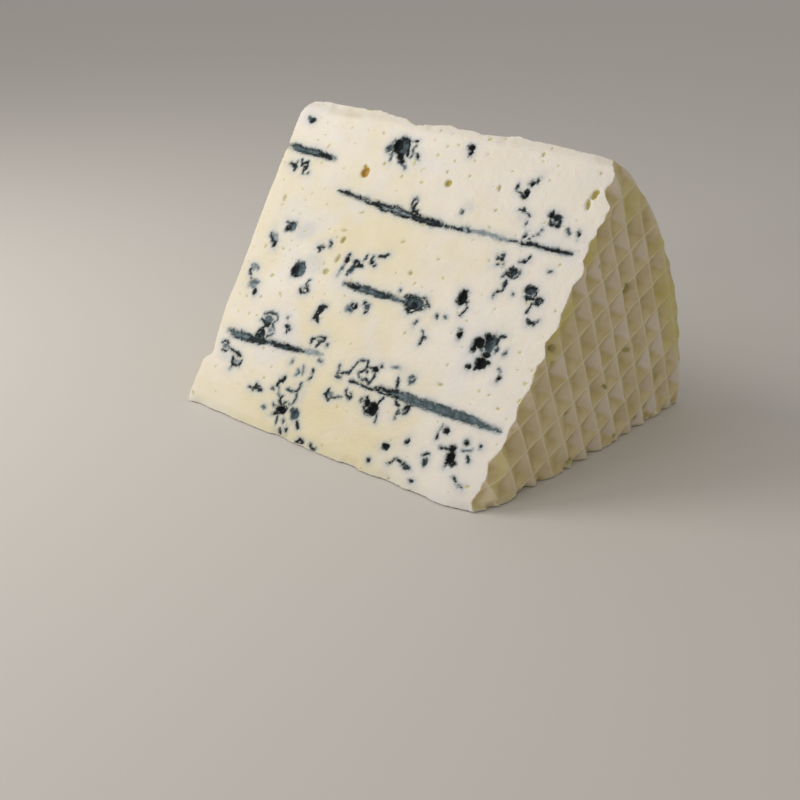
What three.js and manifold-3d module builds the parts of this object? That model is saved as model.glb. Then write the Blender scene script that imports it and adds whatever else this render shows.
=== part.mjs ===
// A wedge of blue cheese, cut from a round wheel and laid on one of its two cut faces.
//
// The wheel's axis is the wedge's thin front edge and runs along X. The lower cut lies flat on the
// XY plane, the upper cut leans back over it, and the rind closes the back as an arc. The two ends
// are the wheel's flat faces. The draining mat printed its square ribs and pyramid cells into both
// flats and, more faintly, into the rind. Needles pushed in through the flats let air reach the
// mould, and the upper cut has opened some of their channels along their length, with the largest
// holes that the mould grew in. Paste, veins and rind grew as one, so it is one solid.
//
// Units are millimetres, +Z is up, and the origin is the middle of the bounding box at the bottom.

import * as THREE from "three";
import { mergeVertices } from "three/addons/utils/BufferGeometryUtils.js";
import Module from "manifold-3d";

// Driving dimensions
const WHEEL_RADIUS = 101;
const WHEEL_HEIGHT = 118;
const SLICE_ANGLE = THREE.MathUtils.degToRad(54.5);
const RIM_RADIUS = 4; // the rounding between the rind and each flat
const SLUMP = 6; // how much shorter the left end is at the bottom than at the top

// The mat's print: ribs between rows of four-sided pits
const MAT_PITCH = { along: 7.2, across: 8.5 };
const MAT_TURN = THREE.MathUtils.degToRad(21.2);
const MAT_START = { along: 1.78, across: 3.86 }; // where the first ribs lie, from the wheel's axis
const RIB_WIDTH = 0.9;
const FLAT_PIT_DEPTH = 2.4;
const RIND_PIT_DEPTH = 1.1;
const PIT_OVERSHOOT = 0.6; // how far a pit's tool stands out of the surface that it cuts

// The needle channels that the upper cut opened: both ends of each, as [along the wheel's axis,
// up the cut from the tip edge]
const CHANNEL_RADIUS = 1.1;
const CHANNELS = [
  [[-57, 86.3], [-37, 85.3]],
  [[-29.5, 75.8], [57, 73.2]],
  [[-16, 49], [10, 49]],
  [[-49, 24.7], [-15, 26.2]],
  [[18, 23.7], [56, 23.3]],
];

// The largest openings of the upper cut: middle, then width and height
const OPENING_DEPTH = 1.6;
const OPENINGS = [
  [[-13, 92.3], [8, 8]],
  [[46.7, 81.8], [4.5, 3.5]],
  [[49.8, 59.8], [5, 5]],
  [[28.8, 54.3], [3.5, 5]],
  [[-32.3, 49], [5, 5]],
  [[14.4, 49], [8, 5]],
  [[-47.3, 40], [5, 6]],
  [[42, 42.3], [8, 10]],
  [[-17.5, 38], [3.5, 5.5]],
  [[-41.4, 16.4], [5, 5.5]],
  [[13.6, 18], [6.5, 5.5]],
  [[45.3, 13], [5, 6.5]],
];

const RIM_STEPS = 4;
const WHEEL_STEPS = 180;
const CUTTER_REACH = 2 * WHEEL_RADIUS;

const wasm = await Module();
wasm.setup();

// A closed three.js geometry as a solid that can be joined and cut.
function toSolid(geometry) {
  const bare = geometry.index ? geometry.toNonIndexed() : geometry.clone();
  for (const name of Object.keys(bare.attributes)) {
    if (name !== "position") bare.deleteAttribute(name);
  }
  const merged = mergeVertices(bare, 1e-4);
  return new wasm.Manifold(
    new wasm.Mesh({
      numProp: 3,
      vertProperties: new Float32Array(merged.attributes.position.array),
      triVerts: new Uint32Array(merged.index.array),
    }),
  );
}

// A solid's surface as a three.js geometry.
function toGeometry(solid) {
  const mesh = solid.getMesh();
  const geometry = new THREE.BufferGeometry();
  geometry.setAttribute("position", new THREE.BufferAttribute(mesh.vertProperties, 3));
  geometry.setIndex(new THREE.BufferAttribute(mesh.triVerts, 1));
  return geometry;
}

// The whole wheel: a rectangle with rounded rims, turned about the X axis.
function wheel() {
  const half = WHEEL_HEIGHT / 2;
  const profile = [new THREE.Vector2(0, -half)];
  for (const [side, from] of [[-1, -Math.PI / 2], [1, 0]]) {
    for (let i = 0; i <= RIM_STEPS; i++) {
      const turn = from + (i / RIM_STEPS) * (Math.PI / 2);
      const r = WHEEL_RADIUS - RIM_RADIUS + RIM_RADIUS * Math.cos(turn);
      const h = side * (half - RIM_RADIUS) + RIM_RADIUS * Math.sin(turn);
      profile.push(new THREE.Vector2(r, h));
    }
  }
  profile.push(new THREE.Vector2(0, half));
  const geometry = new THREE.LatheGeometry(profile, WHEEL_STEPS);
  geometry.rotateZ(-Math.PI / 2);
  return toSolid(geometry);
}

// The tool for one pit: a four-sided pyramid that points down -Z with its mouth at z = 0.
function pitTool(depth) {
  const grow = (depth + PIT_OVERSHOOT) / depth;
  const tool = new THREE.ConeGeometry(Math.SQRT1_2, 1, 4);
  tool.rotateY(Math.PI / 4);
  tool.rotateX(-Math.PI / 2);
  tool.translate(0, 0, 0.5);
  tool.scale(
    (MAT_PITCH.along - RIB_WIDTH) * grow,
    (MAT_PITCH.across - RIB_WIDTH) * grow,
    depth + PIT_OVERSHOOT,
  );
  tool.translate(0, 0, -depth);
  return tool;
}

// The middles of the mat's pits on a flat sheet, as [x, y], out to the given reach.
function pitCentres(reach) {
  const rows = Math.ceil(reach / MAT_PITCH.along);
  const centres = [];
  for (let i = -rows; i <= rows; i++) {
    for (let j = -rows; j <= rows; j++) {
      const u = MAT_START.along + (i + 0.5) * MAT_PITCH.along;
      const v = MAT_START.across + (j + 0.5) * MAT_PITCH.across;
      centres.push([
        u * Math.cos(MAT_TURN) - v * Math.sin(MAT_TURN),
        u * Math.sin(MAT_TURN) + v * Math.cos(MAT_TURN),
      ]);
    }
  }
  return centres;
}

// One tool, turned so that the mat's rows and a face's own axes agree, and set down at a place.
function setTool(tool, place, across, up, out) {
  const turned = tool.clone().rotateZ(MAT_TURN);
  turned.applyMatrix4(new THREE.Matrix4().makeBasis(across, up, out).setPosition(place));
  return toSolid(turned);
}

// The pits of both flats, near enough to the slice to matter.
function flatPits() {
  const tool = pitTool(FLAT_PIT_DEPTH);
  const pits = [];
  for (const side of [1, -1]) {
    const out = new THREE.Vector3(side, 0, 0);
    const across = new THREE.Vector3(0, side, 0);
    const up = new THREE.Vector3(0, 0, 1);
    for (const [a, b] of pitCentres(WHEEL_RADIUS)) {
      const [y, z] = [side * a, b];
      const bearing = Math.atan2(z, y);
      const inSlice = bearing > -0.2 && bearing < SLICE_ANGLE + 0.2;
      const nearTip = Math.hypot(y, z) < 2 * MAT_PITCH.across;
      if (Math.hypot(y, z) < WHEEL_RADIUS - RIM_RADIUS && (inSlice || nearTip)) {
        const place = new THREE.Vector3((side * WHEEL_HEIGHT) / 2, y, z);
        pits.push(setTool(tool, place, across, up, out));
      }
    }
  }
  return pits;
}

// The fainter pits of the rind: the same sheet of the mat, wrapped round the wheel.
function rindPits() {
  const tool = pitTool(RIND_PIT_DEPTH);
  const pits = [];
  const across = new THREE.Vector3(-1, 0, 0);
  for (const [x, arc] of pitCentres(WHEEL_HEIGHT)) {
    const bearing = arc / WHEEL_RADIUS;
    const inSlice = bearing > -0.1 && bearing < SLICE_ANGLE + 0.1;
    if (Math.abs(x) < WHEEL_HEIGHT / 2 - 2 * RIM_RADIUS && inSlice) {
      const out = new THREE.Vector3(0, Math.cos(bearing), Math.sin(bearing));
      const up = new THREE.Vector3(0, -Math.sin(bearing), Math.cos(bearing));
      const place = out.clone().multiplyScalar(WHEEL_RADIUS).setX(-x);
      pits.push(setTool(tool, place, across, up, out));
    }
  }
  return pits;
}

// The space between the two cuts: a triangle with its point on the wheel's axis.
function slice() {
  const outline = new THREE.Shape([
    new THREE.Vector2(0, 0),
    new THREE.Vector2(CUTTER_REACH, 0),
    new THREE.Vector2(CUTTER_REACH * Math.cos(SLICE_ANGLE), CUTTER_REACH * Math.sin(SLICE_ANGLE)),
  ]);
  const geometry = new THREE.ExtrudeGeometry(outline, {
    depth: CUTTER_REACH,
    bevelEnabled: false,
  });
  geometry.translate(0, 0, -CUTTER_REACH / 2);
  const yAxis = new THREE.Vector3(0, 1, 0);
  const zAxis = new THREE.Vector3(0, 0, 1);
  const xAxis = new THREE.Vector3(1, 0, 0);
  geometry.applyMatrix4(new THREE.Matrix4().makeBasis(yAxis, zAxis, xAxis));
  return toSolid(geometry);
}

// A place on the upper cut, given along the wheel's axis and up the cut from the tip edge.
function onUpperCut([along, up]) {
  const [y, z] = [up * Math.cos(SLICE_ANGLE), up * Math.sin(SLICE_ANGLE)];
  return new THREE.Vector3(along, y, z);
}

// The needle channels: round tunnels lying half in the upper cut.
function needleChannels() {
  return CHANNELS.map((ends) => {
    const [from, to] = ends.map(onUpperCut);
    const span = to.clone().sub(from);
    const tunnel = new THREE.CylinderGeometry(CHANNEL_RADIUS, CHANNEL_RADIUS, span.length(), 8);
    const yAxis = new THREE.Vector3(0, 1, 0);
    tunnel.applyQuaternion(new THREE.Quaternion().setFromUnitVectors(yAxis, span.normalize()));
    const middle = from.add(to).multiplyScalar(0.5);
    tunnel.translate(middle.x, middle.y, middle.z);
    return toSolid(tunnel);
  });
}

// The largest openings: flattened balls lying half in the upper cut.
function openings() {
  return OPENINGS.map(([middle, [width, height]]) => {
    const ball = new THREE.IcosahedronGeometry(1, 1);
    ball.scale(width / 2, height / 2, OPENING_DEPTH);
    ball.rotateX(SLICE_ANGLE);
    const place = onUpperCut(middle);
    ball.translate(place.x, place.y, place.z);
    return toSolid(ball);
  });
}

// The soft left half, drawn in at the bottom: X shrinks there, and less so towards the top.
function slump(geometry) {
  const top = WHEEL_RADIUS * Math.sin(SLICE_ANGLE);
  const position = geometry.attributes.position;
  for (let i = 0; i < position.count; i++) {
    const x = position.getX(i);
    if (x < 0) {
      const drawnIn = (SLUMP / (WHEEL_HEIGHT / 2)) * (1 - position.getZ(i) / top);
      position.setX(i, x * (1 - drawnIn));
    }
  }
}

// The finished wedge, moved so that the origin is the middle of its box at the bottom.
function cheeseWedge() {
  const pits = wasm.Manifold.union([...flatPits(), ...rindPits()]);
  const hollows = wasm.Manifold.union([...needleChannels(), ...openings()]);
  const cut = wheel().intersect(slice()).subtract(pits).subtract(hollows);
  const geometry = toGeometry(cut);
  slump(geometry);
  geometry.computeBoundingBox();
  const middle = geometry.boundingBox.getCenter(new THREE.Vector3());
  geometry.translate(-middle.x, -middle.y, -geometry.boundingBox.min.z);
  geometry.computeVertexNormals();

  const paste = new THREE.MeshStandardMaterial({ color: 0xe9e2cb, roughness: 0.5, metalness: 0 });
  const mesh = new THREE.Mesh(geometry, paste);
  mesh.name = "cheese_wedge";
  return mesh;
}

const part = new THREE.Group();
part.add(cheeseWedge());

export default part;
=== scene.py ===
# A wedge of blue cheese cut from a round wheel: its mat-printed flats and rind, its two cut faces,
# the needle channels and mould inside it, then the paste it is all made of.
from math import cos, pi, radians, sin

import bmesh
import bpy
import numpy as np
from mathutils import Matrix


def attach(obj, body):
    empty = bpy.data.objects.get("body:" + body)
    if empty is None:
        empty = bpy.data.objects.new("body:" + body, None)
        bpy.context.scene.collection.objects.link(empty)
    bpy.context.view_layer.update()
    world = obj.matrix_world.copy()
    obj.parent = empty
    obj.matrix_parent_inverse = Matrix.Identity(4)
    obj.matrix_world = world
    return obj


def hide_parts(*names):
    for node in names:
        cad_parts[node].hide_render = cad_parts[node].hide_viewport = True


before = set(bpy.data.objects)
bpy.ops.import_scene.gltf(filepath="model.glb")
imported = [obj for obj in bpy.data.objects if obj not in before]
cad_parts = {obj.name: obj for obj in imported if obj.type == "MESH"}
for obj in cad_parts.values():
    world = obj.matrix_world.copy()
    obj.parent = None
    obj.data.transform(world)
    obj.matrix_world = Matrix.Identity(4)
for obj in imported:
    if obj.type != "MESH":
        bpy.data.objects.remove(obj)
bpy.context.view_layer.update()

# ---- The wheel's two flats -----------------------------------------------------------------
# Drained curd, turned on a plastic mat while it was soft. The mat's square cells pressed four-sided
# pits into it and left thin ribs standing between them. Lengths are in millimetres from the
# wheel's axis until the finished wedge is set down in metres.

WHEEL_RADIUS = 101.0
SLICE = radians(54.5)
FLAT_AT = 59.9
MAT_TURN = radians(21.2)
PITCH_ALONG, PITCH_ACROSS = 7.2, 8.5
START_ALONG, START_ACROSS = 1.78, 3.86
RIB_WIDTH = 0.5
FLAT_PIT_DEPTH = 2.4
RIB_SAG = 0.15


def lattice_noise(points, seed):
    """Smooth noise from -1 to 1: a random height at each whole-number corner, blended between
    corners with 6t^5 - 15t^4 + 10t^3."""
    cell = np.floor(points).astype(np.int64)
    t = points - cell
    t = t * t * t * (t * (6 * t - 15) + 10)
    total = np.zeros(points.shape[:-1])
    for corner in range(8):
        step = np.array([corner & 1, corner >> 1 & 1, corner >> 2 & 1])
        key = (cell + step) @ np.array([73856093, 19349663, 83492791]) + seed * 7919
        key = (key ^ (key >> 13)) * 1274126177 & 0x7FFFFFFF
        key = (key ^ (key >> 16)) * 668265263 & 0x7FFFFFFF
        height = (key >> 8 & 0xFFFF) / 32767.5 - 1
        total += height * np.prod(np.where(step, t, 1 - t), axis=-1)
    return total


def curd_noise(a, b, c, size, seed, layers=3):
    """Layers of lattice noise, each half the size and 0.55 of the height of the one before."""
    points = np.stack(np.broadcast_arrays(a, b, c), -1).astype(float)
    layer = [lattice_noise(points / size * 2**k + 17.3 * k, seed + k) * 0.55**k for k in range(layers)]
    return sum(layer) / sum(0.55**k for k in range(layers))


def ramp(value, low, high):
    """0 below low, 1 above high, and 3t^2 - 2t^3 between."""
    t = np.clip((value - low) / (high - low), 0, 1)
    return t * t * (3 - 2 * t)


def mat_lines(a, b, seed):
    """Where (a, b) lies in the mat's cells, in whole cells along and across: turned by the mat's
    angle, over the cells' pitches. The ribs wander a little, as noise."""
    a = a + 0.5 * curd_noise(a, b, 0, 21, seed, 2) + 0.12 * curd_noise(a, b, 5, 4.5, seed + 9, 1)
    b = b + 0.5 * curd_noise(a, b, 9, 21, seed + 3, 2) + 0.12 * curd_noise(a, b, 14, 4.5, seed + 5, 1)
    along = (a * cos(MAT_TURN) + b * sin(MAT_TURN) - START_ALONG) / PITCH_ALONG
    across = (-a * sin(MAT_TURN) + b * cos(MAT_TURN) - START_ACROSS) / PITCH_ACROSS
    return along, across


def mat_print(a, b, seed):
    """How deep the mat pressed at (a, b), from 0 on a rib to 1 in the middle of a pit, and how far
    the ribs' crests have sagged between crossings. The depth is the smaller of the distances to
    the ribs of the two directions, less half a rib, as a share of half a pit, and each pit has its
    own."""
    along, across = mat_lines(a, b, seed)
    to_steep = (0.5 - np.abs(along - np.floor(along) - 0.5)) * PITCH_ALONG
    to_low = (0.5 - np.abs(across - np.floor(across) - 0.5)) * PITCH_ACROSS
    width = RIB_WIDTH * (1 + 0.7 * curd_noise(a, b, 2, 9, seed + 21, 2))
    inside = np.minimum(to_steep, to_low) - width / 2
    share = np.clip(inside / (PITCH_ALONG / 2 - RIB_WIDTH / 2), 0, 1)
    own = lattice_noise(np.stack([np.floor(along), np.floor(across), 0 * along], -1), seed + 31)
    return share * (0.86 + 0.24 * own), ramp(to_steep, 0.4, 3.2) * (1 - share)


def ball_pits(a, b, places):
    """Rounded holes at (a, b): the deepest of depth * sqrt(1 - q^2), where q is the distance from
    the hole's middle as a share of its half size, turned by its angle."""
    depth = np.zeros(np.broadcast(a, b).shape)
    for at_a, at_b, wide, high, turn, deep in places:
        c, s = cos(radians(turn)), sin(radians(turn))
        u, v = (a - at_a) * c + (b - at_b) * s, (b - at_b) * c - (a - at_a) * s
        q = np.hypot(2 * u / wide, 2 * v / high)
        depth = np.maximum(depth, deep * np.sqrt(np.clip(1 - q * q, 0, 1)))
    return depth


# Each hole: distance from the axis along the board, height, width, height, turn in degrees, depth
RIGHT_HOLES = [
    (65.3, 45.4, 5.6, 2.9, -32, 3.4), (31.6, 37.6, 2.6, 1.5, -50, 2.0), (38.0, 17.2, 2.2, 1.3, 0, 2.2),
    (56.0, 19.2, 3.6, 0.9, -40, 1.6), (67.2, 26.8, 2.6, 1.6, -20, 1.4), (80.0, 4.6, 2.4, 1.8, 10, 2.2),
    (85.8, 12.5, 1.8, 1.2, 60, 1.4), (50.0, 56.0, 1.6, 1.1, 20, 1.2), (30.4, 33.2, 3.2, 2.4, 20, 2.2),
    (74.6, 3.0, 2.6, 2.0, 0, 2.4), (62.8, 1.8, 2.2, 1.6, 30, 2.0), (40.2, 2.0, 3.0, 2.0, -20, 2.2),
]
LEFT_HOLES = [
    (40.0, 24.0, 2.3, 2.3, 0, 4.0), (71.0, 18.0, 2.3, 2.2, 0, 4.0), (66.0, 52.0, 2.4, 2.3, 0, 4.0),
    (82.0, 40.0, 4.6, 2.2, 25, 2.4), (25.0, 9.0, 2.6, 1.4, -30, 1.8), (52.0, 44.0, 2.2, 1.3, 70, 1.6),
]
# The outlines of the two flats where the knife came through them: how far up the cut, and X
RIGHT_OUTLINE = [
    (0, 55.5), (6, 57), (10, 57.8), (20, 59.2), (35, 59.9), (50, 60.4), (63, 60.4), (70, 61.6),
    (72.5, 60.2), (75.2, 62.2), (78, 60.4), (84, 61.2), (87, 61.8), (91, 59.3), (95, 59.8), (98, 58.2),
    (100, 57.2),
]
LEFT_OUTLINE = [
    (0, -54.2), (8, -54.6), (13.6, -55), (15, -54), (16, -52.4), (17.4, -52.1), (20, -53), (23, -53.8),
    (25.4, -54.3), (28, -54.6), (32, -55.2), (40, -55.5), (48, -55.8), (58, -56.5), (72, -57.5),
    (88, -58.3), (96, -58.8),
]


def rim_fall(radius, width):
    """The flats' rounding at the rim: they fall away as a parabola over the last few mm."""
    return 1.7 * np.clip((radius - (WHEEL_RADIUS - width)) / width, 0, 1.7) ** 2


def flat_relief(y, z, seed, holes):
    """How far a flat stands below its ribs: the pits, shallower where the ribs smeared together,
    the ribs' sag, the crumbs' roughness and the holes."""
    share, sag = mat_print(y, z, seed)
    smear = ramp(curd_noise(y, z, 3, 17, seed + 40, 2), 0.22, 0.60)
    pits = FLAT_PIT_DEPTH * share * (1 - 0.45 * smear) + RIB_SAG * sag
    rough = 0.12 * curd_noise(y, z, 1, 1.4, seed + 50, 2) + 0.3 * curd_noise(y, z, 6, 24, seed + 60, 2)
    return pits + rough + ball_pits(y, z, holes)


def from_cut(y, z):
    """How far (y, z) is below the upper cut's plane, and how far up the cut its foot lies, in mm."""
    return y * sin(SLICE) - z * cos(SLICE), y * cos(SLICE) + z * sin(SLICE)


def right_flat(y, z):
    """The right flat's X at (y, z): its plane and a slight belly, carried over to the knife's
    outline within 5 mm of the upper cut, less the rim's fall and the relief, which the blade
    flattened beside the cut and the board tore into crumbs along the foot."""
    under, up = from_cut(y, z)
    belly = 0.9 * np.sin(pi * np.clip(y / WHEEL_RADIUS, 0, 1)) * (1 - z / 90)
    flat = FLAT_AT + belly
    outline = np.interp(up, *zip(*RIGHT_OUTLINE)) + 0.5 * curd_noise(up, under, 0, 2.6, 19, 3)
    flat = flat + (outline - flat) * ramp(under, 5, 0)
    out = np.hypot(y, z)
    pressed = (1 - 0.3 * ramp(under, 3.0, 0.2)) * (1 - 0.65 * ramp(out, WHEEL_RADIUS - 6, WHEEL_RADIUS))
    crumbs = 1.3 * ramp(curd_noise(y, z, 3, 2.6, 22, 2), -0.1, 0.5) * ramp(z, 3.4, 0.4)
    return flat - rim_fall(out, 3) - pressed * flat_relief(y, z, 3, RIGHT_HOLES) - crumbs


def left_flat(y, z):
    """The left flat's X at (y, z): its plane, drawn in towards the board where the soft wheel
    slumped, plus the relief and the rim's fall, and the knife's outline within 6 mm of the cut."""
    under, up = from_cut(y, z)
    out = np.hypot(y, z)
    slump = 5.2 * (1 - np.clip(out / 96, 0, 1)) ** 0.8
    flat = -FLAT_AT + slump + 0.72 * flat_relief(-y, z, 83, LEFT_HOLES) + rim_fall(out, 4)
    outline = np.interp(up, *zip(*LEFT_OUTLINE)) + rim_fall(out, 4)
    outline = outline + 0.18 * curd_noise(up, under, 0, 5, 18, 3)
    return flat + (outline - flat) * ramp(under, 5, 0.4)


# ---- The rind ------------------------------------------------------------------------------
# The same curd where it stood against the mould's round wall: the mat's print again, fainter, with
# dimples and short cracks where the skin dried. The knife left its upper edge knotted.

RIND_PIT_DEPTH = 0.95
# The rind's edge along the upper cut: X, and how far up the cut it reaches
TOP_OUTLINE = [
    (-66, 98), (-58.5, 99), (-57.4, 101), (-56, 102.1), (-50, 102.8), (-40, 102.8), (-35, 103),
    (-33, 102.5), (-28, 103), (-25, 102.7), (-20, 102), (-17, 101.8), (-15, 101), (-12.5, 100.3),
    (-10, 100.8), (-8, 101.3), (0, 102.3), (3, 101.5), (8, 101.8), (12.5, 101.1), (18, 101.7), (25, 102.8),
    (29, 101.9), (32, 102.2), (40, 101.8), (50, 101.4), (56, 101.1), (58, 100.3), (66, 99),
]


def rind_radius(x, bearing):
    """The rind's distance from the axis at x and a bearing in radians above the board: the print,
    dimples, roughness and cracks, carried over to the knife's outline within 9 mm of the cut."""
    arc = bearing * WHEEL_RADIUS
    share, _ = mat_print(-x, arc, 57)
    smear = ramp(curd_noise(x, arc, 3, 19, 97, 2), 0.0, 0.5)
    dimples = 0.5 * ramp(curd_noise(x, arc, 8, 6.5, 71, 2), 0.30, 0.75)
    rough = 0.10 * curd_noise(x, arc, 1, 1.6, 61, 2) + 0.5 * curd_noise(x, arc, 4, 31, 64, 2)
    crack = np.abs(curd_noise(x, arc, 12, 15, 66, 3))
    crack = 0.7 * ramp(crack, 0.035, 0.0) * ramp(curd_noise(x, arc, 15, 22, 67, 1), 0.0, 0.3)
    relief = RIND_PIT_DEPTH * share * (1 - 0.7 * smear) + dimples + rough + crack
    round_wall = WHEEL_RADIUS + 0.3 - relief
    outline = np.interp(x, *zip(*TOP_OUTLINE)) + 0.22 * curd_noise(x, arc, 22, 2.4, 68, 3) + 0.25
    cut_arc = SLICE * WHEEL_RADIUS
    return round_wall + (outline - round_wall) * ramp(arc, cut_arc - 9, cut_arc - 1)


# ---- The mould -----------------------------------------------------------------------------
# Blue mould, grown where air got in: in the gaps between curd grains, and along the channels that
# needles left when they were pushed through the wheel from flat to flat. It lines each hollow with
# blue-black velvet, greyer where it is young, and tints the paste around it.

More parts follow.
